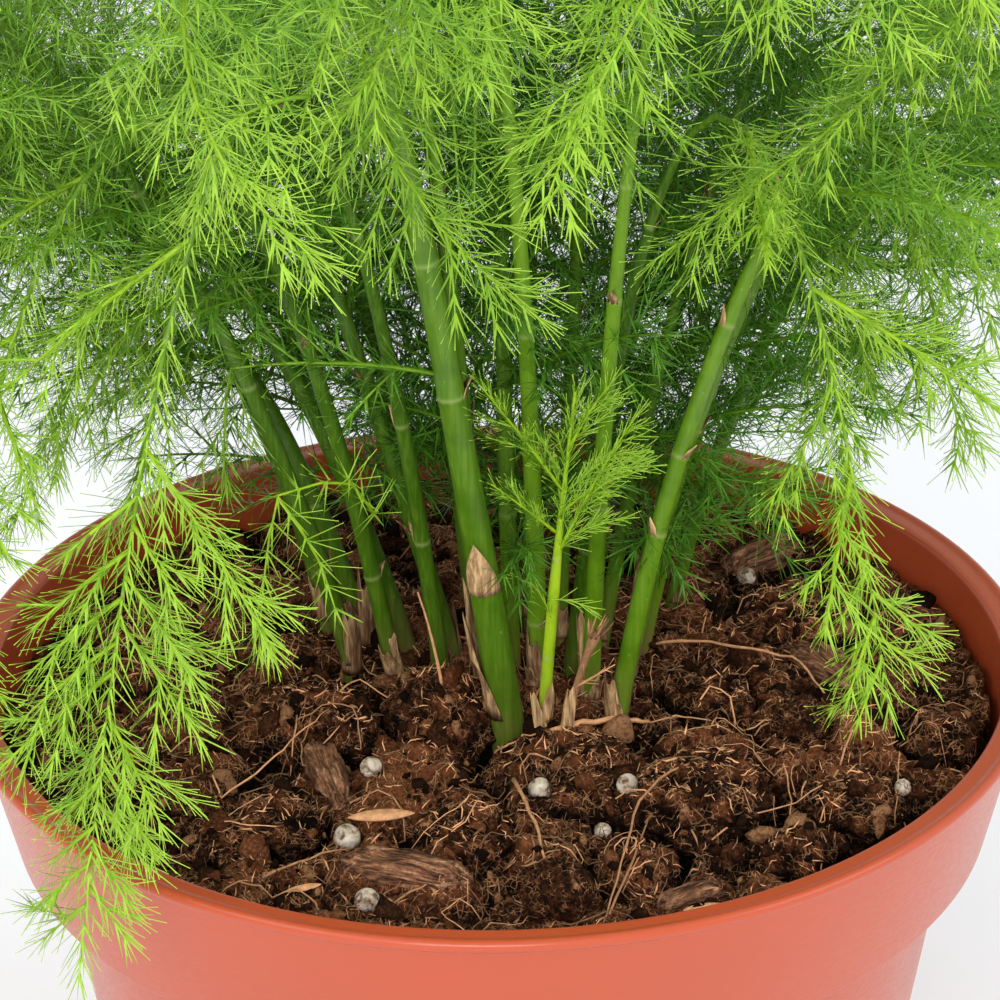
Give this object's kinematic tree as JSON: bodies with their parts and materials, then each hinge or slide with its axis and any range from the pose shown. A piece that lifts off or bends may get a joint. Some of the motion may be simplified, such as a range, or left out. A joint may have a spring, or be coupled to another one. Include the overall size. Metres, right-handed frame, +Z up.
{
  "type": "potted asparagus fern",
  "caption": "Feathery fern in a round plastic nursery pot, standing on its flat base, with bare stems, needled twigs, and loose potting soil.",
  "frame": {"origin": "centre of the pot's flat base, on the surface that the pot stands on", "axes": "+Z up, -Y towards the front of the plant"},
  "size_m": [0.2673, 0.2382, 0.3276],
  "materials": {
    "pot_plastic": "satin",
    "potting_soil": "rough",
    "fern_green": "satin",
    "fern_lime": "satin",
    "dry_stem": "matte",
    "bark": "rough",
    "perlite": "matte"
  },
  "bodies": {
    "root": {"pot": "pot_plastic", "potting_soil": "potting_soil", "frond_01": "fern_green", "frond_02": "fern_green", "frond_03": "fern_green", "frond_04": "fern_green", "frond_05": "fern_green", "frond_06": "fern_green", "frond_07": "fern_green", "frond_08": "fern_green", "frond_09": "fern_green", "frond_10": "fern_green", "frond_11": "fern_green", "frond_12": "fern_green", "frond_13": "fern_green", "frond_14": "fern_green", "frond_15": "fern_green", "frond_16": "fern_green", "frond_17": "fern_green", "frond_18": "fern_green", "frond_19": "fern_green", "frond_20": "fern_green", "frond_21": "fern_green", "frond_22": "fern_green", "frond_23": "fern_green", "frond_24": "fern_green", "frond_25": "fern_green", "young_shoot": "fern_lime", "dry_shoot": "dry_stem", "perlite_1": "perlite", "perlite_2": "perlite", "perlite_3": "perlite", "perlite_4": "perlite", "perlite_5": "perlite", "perlite_6": "perlite", "perlite_7": "perlite", "perlite_8": "perlite", "bark_chip_1": "bark", "bark_chip_2": "bark", "bark_chip_3": "bark", "bark_chip_4": "bark", "bark_chip_5": "bark", "bark_nugget_1": "bark", "bark_nugget_2": "bark"}
  },
  "joints": []
}
